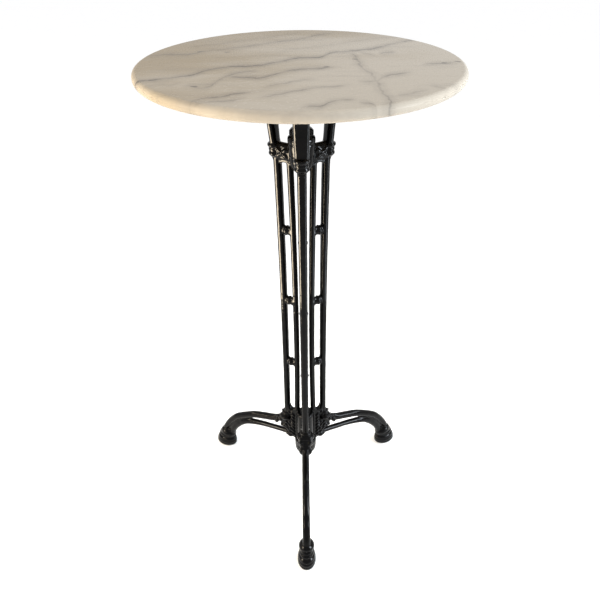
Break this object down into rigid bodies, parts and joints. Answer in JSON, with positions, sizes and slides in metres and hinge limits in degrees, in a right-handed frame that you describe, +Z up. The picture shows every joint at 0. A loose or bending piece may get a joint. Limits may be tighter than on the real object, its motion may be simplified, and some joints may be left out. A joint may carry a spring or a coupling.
{
  "type": "bistro table",
  "caption": "Tall round cafe table with a polished marble top on a pedestal of cast-iron legs, each a narrow ladder that curves out into an openwork foot",
  "frame": {"origin": "on the floor, below the middle of the round top", "axes": "+Z up; -Y is the front, where one leg points; the other legs point 120 degrees to each side"},
  "size_m": [0.6, 0.6, 1.1],
  "materials": {
    "marble": "polished white and grey marble with soft wavy veins, clear glossy rim",
    "black_enamel": "gloss black enamel over cast iron, slightly lumpy, hard bright highlights",
    "steel": "zinc-plated steel, satin",
    "brass": "turned brass, dull",
    "rubber": "matt black rubber"
  },
  "bodies": {
    "root": {"marble_top": "marble", "tie_rod": "black_enamel", "finial_nut": "black_enamel", "finial_washer": "steel", "lower_washer": "steel", "lower_cap_nut": "black_enamel", "leg_casting_front": "black_enamel", "marble_cushion_front": "rubber", "marble_insert_front": "brass", "screw_washer_front": "steel", "marble_screw_front": "steel", "floor_pad_front": "rubber", "floor_pad_screw_front": "steel", "leg_casting_left": "black_enamel", "marble_cushion_left": "rubber", "marble_insert_left": "brass", "screw_washer_left": "steel", "marble_screw_left": "steel", "floor_pad_left": "rubber", "floor_pad_screw_left": "steel", "leg_casting_right": "black_enamel", "marble_cushion_right": "rubber", "marble_insert_right": "brass", "screw_washer_right": "steel", "marble_screw_right": "steel", "floor_pad_right": "rubber", "floor_pad_screw_right": "steel"}
  },
  "joints": []
}
